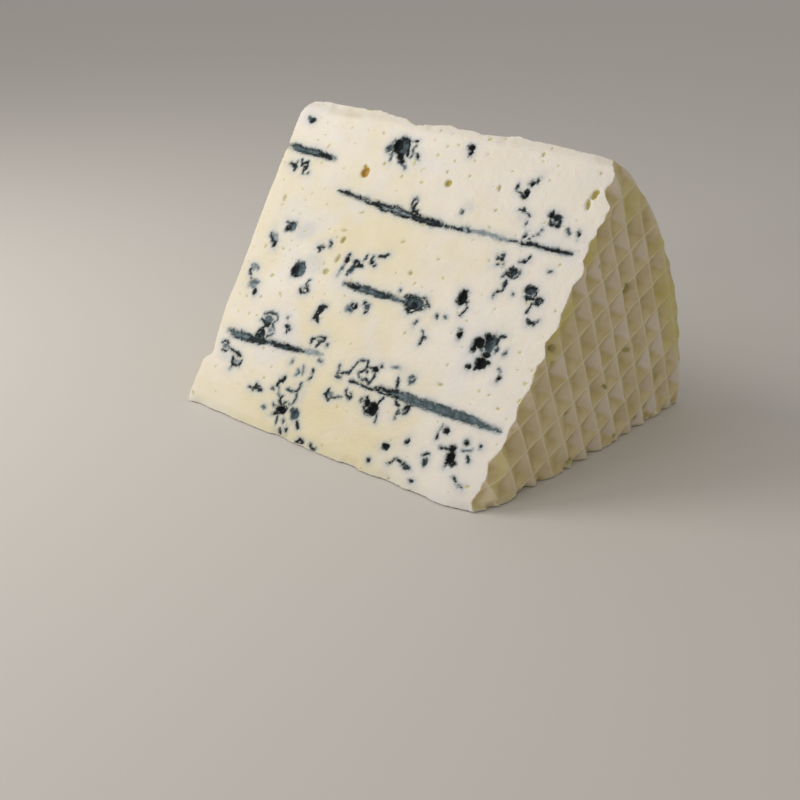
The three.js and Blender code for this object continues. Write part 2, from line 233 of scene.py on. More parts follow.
# Blots of the upper cut: along the axis, up the cut, width, height, turn in degrees, blackness. The
# last ones have no blackness and only tint the paste.
BLOTS = [
    (-52.6, 96.0, 2.4, 2.2, 0, 0.75), (-53.8, 96.3, 1.6, 1.4, 0, 0.35), (-13.4, 93.0, 6.2, 5.4, -20, 0.55),
    (-15.6, 93.0, 3.2, 3.8, 0, 0.9), (-12.6, 90.2, 3.2, 2.4, -30, 0.9), (-11.4, 88.8, 2.6, 2.0, 0, 0.5),
    (-17.9, 92.0, 2.2, 3.0, 0, 0.45), (-13.6, 95.6, 3.6, 1.8, 0, 0.75), (-8.9, 94.2, 0.9, 0.8, 0, 0.5),
    (-8.6, 91.0, 0.8, 1.2, 0, 0.6), (-6.6, 91.2, 1.3, 2.3, 30, 0.75), (-52.0, 80.4, 2.8, 1.5, 0, 0.75),
    (-45.4, 78.9, 1.1, 0.9, 0, 0.45), (-42.6, 61.5, 3.9, 3.4, 8, 0.36), (-44.0, 60.6, 1.6, 1.8, 0, 0.9),
    (-47.2, 56.3, 2.8, 3.8, 30, 0.05), (-46.5, 54.4, 1.7, 2.4, 35, 0.95), (-16.0, 55.9, 2.0, 2.5, 10, 0.8),
    (-15.8, 57.6, 1.3, 1.1, 0, 0.7), (-16.4, 53.2, 1.1, 2.4, -8, 0.3), (-12.7, 53.6, 2.0, 2.4, 0, 0.25),
    (-10.3, 55.4, 2.0, 1.3, 0, 0.6), (-6.4, 57.2, 2.1, 1.5, 0, 0.3), (-17.0, 50.9, 0.9, 0.8, 0, 0.3),
    (-32.4, 49.2, 4.7, 4.9, 10, 0.42), (-34.0, 48.6, 1.6, 3.2, 0, 0.8), (11.0, 96.7, 2.7, 2.3, 0, 1.0),
    (11.6, 95.2, 1.6, 2.2, -10, 1.0), (34.9, 87.0, 1.8, 2.7, 0, 1.0), (35.2, 90.1, 1.7, 1.8, 0, 1.0),
    (36.8, 91.2, 0.9, 1.5, -20, 0.85), (38.7, 78.9, 0.9, 1.6, 15, 0.85), (45.2, 82.7, 2.2, 2.0, 0, 1.0),
    (47.2, 82.3, 2.8, 2.0, 0, 0.8), (48.4, 80.4, 1.2, 1.0, 0, 0.95), (47.0, 80.9, 1.5, 0.9, 0, 0.05),
    (55.5, 79.1, 1.2, 1.8, 25, 1.0), (43.7, 76.8, 1.2, 1.0, 0, 0.85), (42.4, 75.9, 0.9, 0.8, 0, 0.7),
    (44.2, 78.2, 0.7, 0.9, 0, 0.4), (39.8, 75.5, 1.2, 2.1, -10, 1.0), (41.6, 74.7, 0.8, 0.8, 0, 0.8),
    (17.0, 77.9, 1.0, 1.2, 0, 0.85), (34.3, 67.6, 1.1, 1.4, 20, 0.9), (35.6, 68.9, 0.9, 0.9, 0, 0.7),
    (36.1, 67.5, 1.6, 0.9, 0, 0.85), (37.0, 66.5, 0.9, 1.3, 0, 0.7), (35.4, 65.9, 1.4, 0.8, 20, 0.7),
    (34.0, 68.5, 0.7, 0.6, 0, 0.6), (40.9, 65.1, 3.6, 2.1, 15, 0.6), (39.4, 64.5, 2.0, 1.2, 0, 0.85),
    (38.2, 63.2, 1.2, 1.2, 0, 0.8), (42.9, 68.3, 1.9, 1.4, 15, 0.92), (44.2, 69.5, 0.9, 1.1, 0, 0.65),
    (39.8, 60.9, 1.4, 2.1, -15, 0.5), (43.5, 59.2, 0.9, 0.8, 0, 0.5), (51.6, 67.6, 1.2, 1.1, 0, 0.8),
    (48.6, 61.3, 3.2, 2.6, 0, 0.55), (48.8, 59.4, 2.2, 1.2, 0, 0.8), (51.8, 59.0, 2.4, 1.7, 15, 0.5),
    (54.2, 53.8, 0.8, 0.7, 0, 0.5), (28.4, 54.4, 3.2, 4.2, 4, 1.0), (28.6, 56.3, 2.0, 1.3, 0, 1.0),
    (30.1, 53.7, 1.3, 1.1, 0, 0.95), (13.6, 49.4, 7.2, 4.2, 0, 0.5), (13.2, 48.9, 2.4, 2.2, 0, 1.0),
    (16.9, 48.2, 1.8, 0.9, 10, 0.9), (12.4, 47.2, 2.4, 1.8, 30, 0.7), (17.7, 49.5, 1.3, 1.2, 0, 0.1),
    (7.4, 51.6, 1.0, 1.1, 0, 0.6), (-50.4, 45.7, 2.0, 1.6, 0, 0.08), (-48.0, 41.0, 3.7, 2.9, 25, 0.04),
    (-46.0, 38.9, 1.6, 2.3, 40, 0.75), (-35.6, 32.0, 3.6, 2.7, -20, 0.28), (-35.0, 30.4, 1.3, 1.8, 0, 1.0),
    (-36.4, 26.4, 3.4, 2.6, 0, 0.7), (-33.4, 28.8, 1.6, 2.0, 0, 0.12), (-17.8, 39.1, 1.7, 2.2, -20, 0.4),
    (-28.9, 34.4, 0.9, 0.9, 0, 0.5), (-13.4, 29.3, 0.9, 1.5, 0, 0.85), (-10.2, 30.4, 0.9, 1.1, 0, 0.85),
    (-12.6, 31.1, 1.7, 0.9, 0, 0.2), (-48.4, 20.0, 2.2, 1.8, 0, 0.25), (-41.4, 16.4, 2.6, 1.7, 0, 0.04),
    (-20.2, 22.4, 0.9, 1.3, -15, 0.7), (-16.8, 7.8, 4.2, 2.7, -8, 1.0), (-18.4, 6.2, 2.8, 1.3, 20, 0.8),
    (-13.4, 16.7, 0.9, 1.0, 0, 0.8), (-11.2, 8.1, 3.2, 4.0, 20, 0.5), (-12.8, 8.9, 1.7, 1.7, 0, 0.45),
    (-14.2, 1.6, 1.3, 2.4, 0, 1.0), (-12.0, 3.3, 0.9, 1.6, 0, 0.8), (-6.0, 43.6, 2.3, 1.9, 0, 1.0),
    (-7.4, 44.0, 1.5, 1.5, 0, 0.7), (-7.2, 42.5, 3.0, 2.2, 0, 0.1), (-2.0, 44.3, 1.7, 1.8, 0, 0.4),
    (23.0, 47.6, 1.4, 1.4, 0, 0.85), (25.6, 48.0, 1.0, 0.9, 0, 0.35), (16.8, 44.2, 1.0, 1.7, -10, 0.4),
    (32.6, 44.7, 1.9, 2.9, 8, 1.0), (32.0, 46.0, 1.5, 1.0, 0, 0.85), (39.5, 44.2, 3.6, 3.6, -20, 1.0),
    (38.2, 42.3, 1.9, 2.8, 0, 1.0), (41.4, 46.6, 2.8, 2.2, 0, 0.95), (43.0, 44.8, 3.6, 5.2, 0, 0.5),
    (44.8, 45.8, 1.5, 2.8, 0, 0.85), (45.6, 43.4, 1.2, 1.8, 0, 0.6), (42.8, 41.4, 3.2, 2.0, 0, 0.92),
    (42.4, 38.8, 4.0, 3.4, -10, 1.0), (41.6, 37.2, 1.6, 1.5, 0, 1.0), (44.5, 39.4, 1.9, 1.4, 0, 1.0),
    (41.0, 42.5, 1.4, 1.4, 0, 0.3), (39.2, 36.9, 1.6, 1.6, 0, 1.0), (48.3, 43.4, 1.1, 1.6, -25, 0.5),
    (49.5, 36.4, 1.3, 1.8, -15, 1.0), (10.0, 28.2, 2.2, 2.0, -25, 1.0), (11.7, 29.6, 1.3, 1.0, 0, 0.9),
    (16.6, 30.5, 1.9, 0.8, 0, 0.2), (-1.6, 17.2, 2.1, 1.5, 0, 0.12), (14.7, 17.6, 3.6, 4.0, 0, 1.0),
    (12.0, 18.6, 2.6, 2.3, 0, 1.0), (11.3, 19.8, 1.6, 1.1, 20, 0.9), (13.4, 16.3, 2.6, 1.4, -15, 0.85),
    (9.8, 18.6, 1.0, 1.4, -10, 0.8), (25.0, 20.0, 2.4, 1.6, 0, 0.08), (23.0, 17.2, 1.2, 1.1, 0, 0.7),
    (40.6, 18.9, 2.2, 1.9, 0, 1.0), (48.2, 18.0, 1.7, 1.7, 0, 1.0), (52.9, 18.0, 1.3, 1.4, 0, 0.55),
    (44.6, 15.0, 2.4, 2.2, 0, 1.0), (45.1, 12.6, 3.2, 3.6, -10, 1.0), (46.5, 11.4, 1.9, 1.9, 0, 1.0),
    (44.4, 10.6, 1.2, 1.6, 0, 0.85), (24.0, 9.0, 2.8, 2.2, 20, 0.85), (30.2, 12.4, 1.8, 2.0, 0, 1.0),
    (33.0, 6.0, 3.0, 2.0, -15, 0.6), (38.2, 9.0, 2.0, 2.4, 0, 0.5), (20.4, 4.0, 1.4, 1.2, 0, 0.9),
    (36.4, 3.0, 1.6, 1.2, 0, 0.8), (18.4, 79.6, 4.0, 3.6, 0, 0), (36.6, 81.0, 4.6, 5.0, 0, 0),
    (43.4, 77.0, 4.4, 3.4, 0, 0), (-48.6, 57.6, 3.0, 8.0, 8, 0), (-49.4, 42.4, 4.6, 7.0, 0, 0),
    (-36.6, 61.0, 9.0, 6.0, 30, 0), (-28.0, 52.0, 9.0, 7.0, 0, 0), (36.0, 66.8, 5.0, 5.0, 0, 0),
    (50.0, 58.6, 6.0, 6.4, 0, 0), (-13.6, 14.0, 7.4, 9.0, 0, 0), (-12.0, 29.6, 6.4, 5.0, 0, 0),
    (4.2, 27.2, 6.0, 5.0, 0, 0), (-14.6, 20.6, 5.0, 4.6, 0, 0), (-46.0, 18.0, 6.6, 5.6, 0, 0),
    (42.4, 42.0, 9.0, 11.0, 0, 0), (-1.0, 17.0, 6.0, 3.6, 0, 0),
]
# Threads of mould along the walls between curd grains: blackness, half width, then the points
THREADS = [
    (0.85, 0.5, (-51.4, 81.8, -51.5, 79.1)), (0.75, 0.45, (-53.8, 80.8, -51, 80.3)),
    (0.8, 0.42, (-49.8, 82.7, -49, 81.9)), (0.7, 0.35, (-48.6, 81.2, -47.2, 80.9)),
    (0.85, 0.42, (-49, 80.9, -48.4, 82, -47, 82.3, -46.2, 81.2, -46.8, 80.2, -47.6, 79.8, -47.5, 78.7)),
    (1.0, 0.75, (-15.6, 94.6, -14.8, 91.2)), (1.0, 0.65, (-12.0, 95.2, -10.2, 91.0)),
    (0.4, 0.35, (-17.4, 95.0, -18.2, 92.6)), (0.35, 0.4, (-16.4, 90.4, -15.8, 88.2)),
    (0.7, 0.35, (-14.2, 96.2, -13.2, 95.0)), (0.45, 0.35, (-9.4, 93.4, -8.4, 91.6)),
    (0.9, 0.55, (-13.6, 91, -11.6, 88.7)), (0.85, 0.45, (-10.2, 95.4, -8.8, 95.8)),
    (0.25, 0.5, (-11, 88, -9.2, 86.6)), (0.6, 0.35, (-45.3, 62.4, -41.2, 63.0)),
    (0.75, 0.4, (-49.4, 58, -48.4, 56.4, -46.6, 53.9)),
    (0.85, 0.42, (-28.9, 57.4, -27.6, 58.1, -26.8, 57.9)), (0.85, 0.42, (-28.4, 57.2, -27.6, 56.4)),
    (0.65, 0.45, (-25, 60.3, -24.4, 58.7)), (0.85, 0.45, (-13.2, 56.2, -12, 56.5, -11.4, 56.2)),
    (0.65, 0.42, (-12.8, 54.2, -13.8, 53, -13.4, 52)),
    (0.85, 0.45, (-13.2, 56.2, -12.6, 54.6, -11.4, 54.8, -10.6, 55.6, -9.6, 55.2)),
    (0.6, 0.4, (-9.8, 57.4, -9.2, 58.6)), (0.6, 0.38, (-7.3, 57.8, -7, 58.8)),
    (0.8, 0.5, (-6.9, 57, -5.6, 56.4, -5.2, 56.6)), (0.8, 0.45, (-4.8, 59.4, -3.2, 59.8, -1.8, 60.6)),
    (0.9, 0.45, (-34.6, 51, -34.8, 49, -34, 47.2, -32.6, 46.8)),
    (0.7, 0.35, (-34, 51.6, -31.6, 51.6, -30.4, 50.2)), (0.6, 0.3, (-32, 46.9, -30.4, 48, -30.2, 49.6)),
    (0.9, 0.42, (-1.4, 78.6, -0.4, 79, 0.2, 78, -0.2, 76.6, -0.8, 76.2, -1.4, 77.2, -1.4, 78.6)),
    (0.85, 0.45, (-0.5, 76.2, 0.4, 75.2, 1.6, 75.2, 1.8, 74.2)),
    (0.9, 0.42, (31.4, 88.8, 31.6, 87.4, 33.2, 86.8, 34.4, 85.8)), (0.65, 0.3, (34.8, 82.0, 37.6, 81.7)),
    (0.8, 0.42, (36.0, 82.6, 37.4, 81.8, 38.8, 81.1)),
    (0.95, 0.45, (45.6, 81.6, 45.9, 80, 48.6, 80.1, 48.4, 81.6)), (0.45, 0.38, (51.8, 79.8, 52.6, 78.6)),
    (0.7, 0.4, (36.3, 69.0, 36.2, 67.8)),
    (0.9, 0.38, (38.2, 63.2, 39.8, 64.8, 40.6, 66.2, 42.8, 65.8, 43.4, 64.8, 42, 63.7, 40, 63.9)),
    (0.85, 0.42, (41.9, 68.2, 43.2, 68.2, 44.3, 69.9)),
    (0.75, 0.4, (39.8, 62, 40.2, 60, 38.4, 58.6, 38, 57.2)),
    (0.9, 0.38, (47, 61, 47.6, 62.3, 50.2, 62.2, 50.4, 60.4)), (0.75, 0.42, (50.2, 58, 50.0, 55.4)),
    (0.9, 0.42, (48, 58.8, 50, 59.4, 52.6, 60, 53.3, 59.2, 52.3, 57.9, 50.8, 58.6)),
    (0.92, 0.5, (51.2, 53.5, 51.8, 52.7, 53, 53.3, 53.2, 52.7)),
    (0.85, 0.4, (30.2, 53, 31.2, 52.2, 30.8, 50.6, 30.2, 49.8)),
    (0.8, 0.4, (9.6, 50.4, 12, 51.2, 17, 51.6, 18.4, 50.2, 19, 49.4)),
    (0.9, 0.45, (10, 48.8, 11.8, 46.8, 13.2, 46.2, 15, 47.2, 15.8, 48.6)),
    (0.85, 0.5, (-51.6, 44.9, -50.6, 43.5)), (0.4, 0.35, (-49.8, 42.4, -48, 41.4, -46.2, 41.8)),
    (0.2, 0.35, (-52, 46.4, -50, 46.8, -48.4, 45.6)),
    (0.95, 0.48, (-28.6, 43.6, -27.8, 42.7, -26, 42.9, -25.4, 43.8, -26, 44.7)),
    (0.65, 0.36, (-27.2, 44.8, -26.8, 46, -26.3, 46.9)), (0.85, 0.4, (-27.5, 44.3, -26.6, 44.9)),
    (0.85, 0.6, (-16.4, 40.7, -18.2, 40.3, -19, 38.4, -19, 36.7)),
    (0.9, 0.7, (-17.2, 39.8, -18.2, 37.4, -17, 35.9)), (0.85, 0.5, (-38.4, 31.4, -36.8, 30.6, -35.2, 29.6)),
    (0.6, 0.42, (-38, 33.4, -35.6, 34.4, -33, 34, -32.4, 32.4, -33.4, 31)),
    (0.45, 0.42, (-33.4, 30.9, -32, 29.4, -32, 27.8, -33.6, 26.8)),
    (0.85, 0.5, (-36.2, 29.8, -37.6, 27.8, -38.4, 25.6)), (0.9, 0.55, (-36.8, 28.6, -35.2, 27, -34.4, 25)),
    (0.85, 0.5, (-28.2, 31.9, -26.6, 31.6, -25.8, 31.2)), (0.85, 0.45, (-26.6, 31.3, -26.6, 29.9)),
    (0.8, 0.42, (-16, 29.2, -16.2, 30.4, -15, 31)),
    (0.85, 0.42, (-14.6, 31.6, -13, 32.3, -11.6, 32, -11.6, 31)),
    (0.85, 0.4, (-14.4, 30.6, -12.8, 30.2, -11.8, 30.8)), (0.7, 0.4, (-10.5, 25.3, -9.4, 25)),
    (0.85, 0.42, (-50, 20.8, -49, 21.4, -47.4, 21, -46.2, 19.8, -47.4, 18.4, -48.8, 18.5)),
    (0.75, 0.4, (-46.2, 19.7, -43.6, 19.4, -41.4, 18.8)), (0.92, 0.5, (-41.8, 18.9, -40.7, 18.4)),
    (0.92, 0.5, (-43.4, 17.4, -43.2, 16.2, -42, 15.2, -42.6, 13.8)),
    (0.8, 0.42, (-42, 15.6, -40, 15.6, -39.6, 17.6)),
    (0.92, 0.52, (-32, 11, -30, 11.2, -28.4, 11, -27, 11.4)), (0.9, 0.5, (-30.4, 10.4, -29.8, 12.6)),
    (0.7, 0.35, (-28.8, 12.1, -27.4, 11.6)),
    (0.95, 0.55, (-22, 14.2, -21.6, 15.8, -20.2, 16.2, -20.2, 17.1)), (0.85, 0.45, (-23.4, 13, -22.2, 13)),
    (0.3, 0.34, (-21, 14, -20, 12.2, -18.8, 11.2)),
    (0.65, 0.4, (-17.6, 14.2, -15.6, 14, -14, 14.6, -13.4, 15.8)),
    (0.45, 0.36, (-14, 14.4, -13.2, 12.6, -13.4, 11, -14.4, 9.8)),
    (0.45, 0.38, (-15.4, 22, -14.6, 20.6, -14.8, 19.8)), (0.8, 0.42, (-11.4, 22, -10.8, 20, -11.6, 18.8)),
    (0.3, 0.36, (-16.8, 20.6, -16, 19.8, -16.6, 19)), (0.95, 0.55, (-18, 11.6, -18.6, 10.4, -17.4, 9.2)),
    (0.9, 0.45, (-16.2, 9.2, -15, 8.4)), (0.65, 0.36, (-20.7, 8.9, -19.5, 8.2)),
    (0.6, 0.38, (-17, 5.6, -16.4, 3.8)), (0.55, 0.35, (-14.6, 5.6, -13.8, 4.8)),
    (0.5, 0.34, (-16.6, 10.2, -15.4, 10.8, -14.4, 10)), (0.85, 0.55, (-9.2, 6.6, -8.1, 5)),
    (0.85, 0.45, (-6.7, 1, -5.8, 2.3, -4.6, 1.7, -5.4, 0.6)), (0.85, 0.45, (-1.4, 1.7, -0.4, 0.8, 0.7, 1)),
    (0.5, 0.38, (-23.9, 7.1, -23, 6.7)), (0.6, 0.45, (-7.7, 42.3, -6.4, 41.6)),
    (0.85, 0.42, (-3.4, 45, -2.4, 45.6, -1, 44.8, -1.2, 43, -1.8, 42.4)),
    (0.88, 0.5, (20.2, 42.4, 20.8, 41.4, 21.2, 40.2, 21, 39)), (0.6, 0.38, (21, 41.1, 22.1, 40.8)),
    (0.75, 0.38, (45.2, 47.2, 46.5, 47.7)), (0.3, 0.3, (42.4, 47.4, 43, 44.4, 43.4, 42)),
    (0.35, 0.35, (48.5, 38.9, 49.3, 38.2)), (0.8, 0.45, (-2.6, 25.8, -2, 24.4, -2.2, 23.2, -0.6, 22.6)),
    (0.75, 0.4, (-2, 24.4, 0, 24.2, 1.6, 24.9, 2.2, 26.6, 3, 28.8, 4, 29.4, 6.4, 29.4, 7.2, 28, 6.2, 26.8,
     5, 25.6)), (0.75, 0.38, (5, 25.6, 5.8, 24.6, 7.4, 24.1, 8.2, 24.8, 9.4, 24.6, 10, 23.8)),
    (0.6, 0.36, (6.2, 26.8, 8, 26.9)), (0.75, 0.36, (7.2, 28, 9.2, 28.4)),
    (0.8, 0.42, (10.4, 27.2, 10.9, 25.8, 10.2, 24.6)), (0.85, 0.45, (19.6, 24.4, 19.2, 26, 19, 28)),
    (0.5, 0.36, (23.2, 29.9, 22.2, 28.9, 22.9, 27.8, 24.1, 28.2, 24.1, 29.4, 23.2, 29.9)),
    (0.88, 0.45, (-3.7, 16.5, -2.9, 17.6, -2.8, 18.5)), (0.88, 0.45, (-3.1, 16.6, -1.8, 15.4, -0.7, 16.4)),
    (0.7, 0.38, (-0.6, 16.4, 0.8, 17, 2.6, 17.6)),
    (0.82, 0.42, (3.4, 20, 4, 18.6, 5.4, 17.8, 6, 18.6, 5.2, 19.4)), (0.9, 0.48, (16, 19.6, 16.6, 21.3)),
    (0.85, 0.4, (16.2, 17, 17, 15.6, 17.1, 14.4)), (0.8, 0.4, (11.4, 17.2, 12.6, 15.8, 14, 15.6)),
    (0.85, 0.4, (20.8, 22.2, 21.6, 21.1, 22.8, 20.7)),
    (0.85, 0.42, (24.8, 20.9, 26.4, 21.6, 26.3, 19.6, 25, 19)),
    (0.6, 0.4, (23.4, 19.9, 23, 18.5, 24, 19.2)), (0.9, 0.48, (39, 19.8, 38.5, 17.8, 38.8, 16.1)),
    (0.7, 0.45, (51.1, 13.2, 50.2, 14.5)), (0.3, 0.32, (47.8, 15.3, 50.4, 16.2)),
    (0.85, 0.5, (41, 14.2, 43, 14.5)), (0.85, 0.5, (48.5, 7.9, 49.7, 7.2)),
    (0.8, 0.45, (50.7, 6.7, 52.1, 6.4)), (0.85, 0.4, (27, 4.8, 29, 6.8, 31.4, 6.2)),
    (0.8, 0.4, (36.4, 10.4, 38, 11.4)),
]
# The needle channels that the knife opened, laid down in stretches: blackness, then along the axis,
# up the cut and half width at each point. The dark stretches are their walls.
CHANNELS = [
    (0.42, (-58, 86.5, 0.3, -54, 86.3, 0.9, -47, 86.0, 1.1, -42, 85.8, 0.9, -36.6, 85.1, 0.15)),
    (0.68, (-57, 86.9, 0.2, -54, 87.1, 0.3, -50, 86.8, 0.3, -46, 87.0, 0.35, -42, 86.2, 0.3, -37, 85.4,
     0.2)), (0.68, (-55, 85.5, 0.25, -50, 85.1, 0.35, -46, 85.0, 0.35, -42, 85.2, 0.35, -39, 85.0, 0.3)),
    (1.00, (-44.5, 85.9, 0.35, -42, 85.6, 0.6, -40, 85.3, 0.4)),
    (0.85, (-30, 75.8, 0.2, -27.5, 75.7, 0.6, -24.5, 75.6, 0.55, -21, 75.2, 0.35)),
    (0.85, (-24, 75.7, 0.3, -20.4, 75.3, 0.3, -19, 75.6, 0.3, -16.6, 75.1, 0.3, -10, 75.0, 0.32, -4, 74.9,
     0.32)), (0.85, (-4, 74.9, 0.32, 0, 74.3, 0.35, 4, 74.0, 0.35, 10, 73.9, 0.35)),
    (0.95, (-24, 75.3, 0.3, -20, 74.8, 0.35, -17.6, 74.2, 0.4, -14, 74.2, 0.45, -10.6, 72.9, 0.4, -8,
     73.4, 0.35)),
    (0.90, (-8, 73.4, 0.35, -4, 72.9, 0.4, 0, 72.9, 0.4, 4, 72.5, 0.4, 8, 72.2, 0.45, 11, 72.7, 0.4)),
    (0.10, (-20, 75.0, 0.3, -14, 74.6, 0.5, -8, 74.2, 0.8, 0, 73.6, 0.8, 4, 73.3, 0.8)),
    (0.50, (3, 73.3, 0.8, 8, 73.1, 0.95, 11.6, 73.2, 0.6)),
    (0.85, (0, 73.8, 0.3, 4, 73.3, 0.3, 6, 73.6, 0.35, 9, 73.2, 0.35, 10.5, 73.5, 0.3)),
    (0.90, (13, 72.9, 0.6, 15.5, 73.0, 0.5, 19, 73.1, 0.4)), (0.75, (21.2, 73.9, 0.4, 21.9, 73.3, 0.4)),
    (0.02, (18, 73.1, 0.7, 24, 73.3, 0.55, 30, 73.4, 0.4, 36, 73.2, 0.4)),
    (0.20, (40, 73.5, 0.4, 48, 73.6, 0.65, 56, 73.6, 0.5)),
    (1.00, (36, 73.3, 0.2, 40, 73.3, 0.35, 42, 73.9, 0.45, 46, 73.5, 0.4, 50, 73.4, 0.42, 54, 73.9, 0.3,
     56, 73.4, 0.15)), (0.95, (-13.4, 49.0, 0.3, -11, 49.1, 0.6, -8, 49.3, 0.5)),
    (0.40, (-10, 49.1, 0.7, -3, 49.0, 0.95, 4, 49.0, 0.8, 9.6, 48.9, 0.45)),
    (0.62, (-9, 49.8, 0.3, -4, 49.9, 0.35, 0, 49.8, 0.3, 5, 49.5, 0.3)),
    (0.62, (-9, 48.3, 0.3, -3, 48.1, 0.35, 2, 48.3, 0.3, 6, 48.6, 0.25)),
    (0.90, (1.8, 49.0, 0.4, 4, 48.9, 0.45)),
    (0.38, (-49.6, 24.9, 0.5, -46, 24.6, 1.05, -41, 24.6, 1.05, -38, 24.7, 0.95)),
    (0.62, (-49.6, 25.3, 0.25, -45, 25.8, 0.35, -40, 25.5, 0.35)),
    (0.68, (-48, 23.8, 0.3, -44, 23.4, 0.4, -38, 23.8, 0.45, -33, 24.6, 0.4)),
    (0.80, (-40, 24.8, 0.9, -36, 24.9, 0.9, -33.4, 25.2, 0.5)),
    (0.30, (-33, 25.4, 0.6, -26, 25.7, 0.75, -19, 26.1, 0.5)),
    (0.85, (-31, 26.0, 0.4, -26, 26.2, 0.42, -22, 26.4, 0.45, -17.8, 26.4, 0.3)),
    (0.85, (-31.6, 25.0, 0.35, -26, 25.1, 0.4, -20, 25.7, 0.35)),
    (0.02, (-18, 26.5, 0.5, -14, 26.9, 0.65, -10.6, 27.2, 0.4)),
    (0.88, (2.7, 22.7, 0.35, 5, 22.9, 0.45, 8, 22.6, 0.45, 12, 22.6, 0.45, 14, 23.0, 0.4)),
    (0.85, (12.4, 23.2, 0.35, 14, 24.0, 0.42, 16, 23.4, 0.42, 17.6, 24.0, 0.45, 20, 24.3, 0.4)),
    (0.85, (12.6, 22.8, 0.4, 15, 22.2, 0.4, 17.6, 22.8, 0.42, 21, 22.6, 0.4)),
    (0.40, (15, 23.2, 0.5, 20, 23.6, 0.95, 30, 23.6, 1.05, 44, 23.7, 1.05, 52, 23.6, 0.8, 56.6, 23.4,
     0.15)), (0.48, (20, 24.6, 0.3, 30, 24.7, 0.3, 40, 24.8, 0.35, 50, 24.3, 0.3, 55.6, 23.6, 0.2)),
    (0.48, (20, 22.5, 0.3, 28, 22.4, 0.35, 40, 22.8, 0.3, 50, 22.9, 0.3, 55, 23.1, 0.2)),
]
# How deep the needles' grooves are worn into the cut: both ends, half width, depth
GROOVES = [
    (-58, 86.4, -37, 85.2, 1.1, 0.8), (-29, 75.7, -12, 74.3, 0.8, 0.6), (-14, 74.4, 12, 73.1, 1.1, 0.85),
    (36, 73.4, 56, 73.6, 0.6, 0.5), (-13, 49.1, 10, 48.9, 1.0, 0.8), (-49.6, 24.6, -18, 26.2, 1.1, 0.8),
    (15, 23.4, 56.5, 23.4, 1.1, 0.85), (4, 22.8, 15, 22.8, 0.6, 0.4),
]


def part_edge(a, b, at_a, at_b, wide, high, turn):
    """About how far inside an oval's edge (a, b) is, in mm: (1 - q) * half its smaller size, where
    q is the distance from its middle as a share of its half size, turned by its angle."""
    c, s = cos(radians(turn)), sin(radians(turn))
    u, v = (a - at_a) * c + (b - at_b) * s, (b - at_b) * c - (a - at_a) * s
    return (1 - np.hypot(2 * u / wide, 2 * v / high)) * min(wide, high) / 2


def stretch_edge(a, b, ends):
    """How far inside a tapering stroke (a, b) is, in mm: its half width at the nearest point of its
    middle line, less the distance to that point."""
    a0, b0, half0, a1, b1, half1 = ends
    da, db = a1 - a0, b1 - b0
    t = np.clip(((a - a0) * da + (b - b0) * db) / (da * da + db * db), 0, 1)
    return half0 + t * (half1 - half0) - np.hypot(a - a0 - t * da, b - b0 - t * db)


def mould(a, b, blots, threads, channels, grooves, seed):
    """The mould on a cut at (a, b) as four values: how far inside its edge, in mm, above 0 inside;
    how black it is; how much it tints the paste around it; and how deep it has hollowed the paste.
    Blots, threads and channels are laid over one another, each wandering a little with noise, and
    the deepest one inside counts for the edge, the blackest for the colour. The tint falls off
    outside the edge as exp(-(distance / width)^2)."""
    wa = a + 0.50 * curd_noise(a, b, 0, 2.2, seed, 3)
    wb = b + 0.50 * curd_noise(a, b, 7, 2.2, seed + 1, 3)
    edge, black = np.full(a.shape, -3.0), np.zeros(a.shape)
    deep, wide_edge = np.zeros(a.shape), np.full(a.shape, -4.0)
    reach = 4.0  # how far past a blot or stroke anything of it is worked out
    tint_inset, tint_width = 1.4, 1.5

    def lay(here, inside, soot, hollow):
        """One blot or stroke laid over the points numbered here. Without blackness it only tints."""
        if soot == 0:
            wide_edge[here] = np.maximum(wide_edge[here], inside - tint_inset)
            return
        edge[here] = np.maximum(edge[here], inside)
        wide_edge[here] = np.maximum(wide_edge[here], inside)
        black[here] = np.maximum(black[here], soot * ramp(inside, -0.45, 0.20))
        deep[here] = np.maximum(deep[here], hollow * ramp(inside, -0.1, 0.9) * (0.35 + 0.65 * soot))

    for at_a, at_b, wide, high, turn, soot in blots:
        size = max(wide, high) / 2 + reach
        here = np.nonzero((np.abs(a - at_a) < size) & (np.abs(b - at_b) < size))
        inside = part_edge(wa[here], wb[here], at_a, at_b, wide, high, turn)
        lay(here, inside, soot, min(1.5, 0.5 * size - 1.6))
    strokes = [(soot, np.insert(np.reshape(points, (-1, 2)).astype(float), 2, half, axis=1), 0.35)
               for soot, half, points in threads]
    strokes += [(soot, np.reshape(points, (-1, 3)).astype(float), 0.0) for soot, points in channels]
    for soot, points, hollow in strokes:
        low, high = points[:, :2].min(0) - reach, points[:, :2].max(0) + reach
        here = np.nonzero((a > low[0]) & (a < high[0]) & (b > low[1]) & (b < high[1]))
        for start, stop in zip(points[:-1], points[1:]):
            lay(here, stretch_edge(wa[here], wb[here], (*start, *stop)), soot, hollow)
    wavy_b = b + 0.15 * curd_noise(a, b, 20, 5, seed + 6, 2)
    for a0, b0, a1, b1, half, depth in grooves:
        inside = stretch_edge(a, wavy_b, (a0, b0, half, a1, b1, half))
        deep = np.maximum(deep, depth * np.sqrt(np.clip(inside / half, 0, 1)))
    tint = np.exp(-(np.clip(-wide_edge, 0, 9) / tint_width) ** 2)
    return edge, black, tint, deep


# ---- The two cut faces ---------------------------------------------------------------------
# The knife's cuts meet in the wheel's axis, the wedge's thin edge. The upper one leans back over
# the wedge and shows the veins; the lower one lies on the board. The blade dragged the soft paste a
# little, tore crumbs from the thin edges and opened small whey holes, pale olive inside.

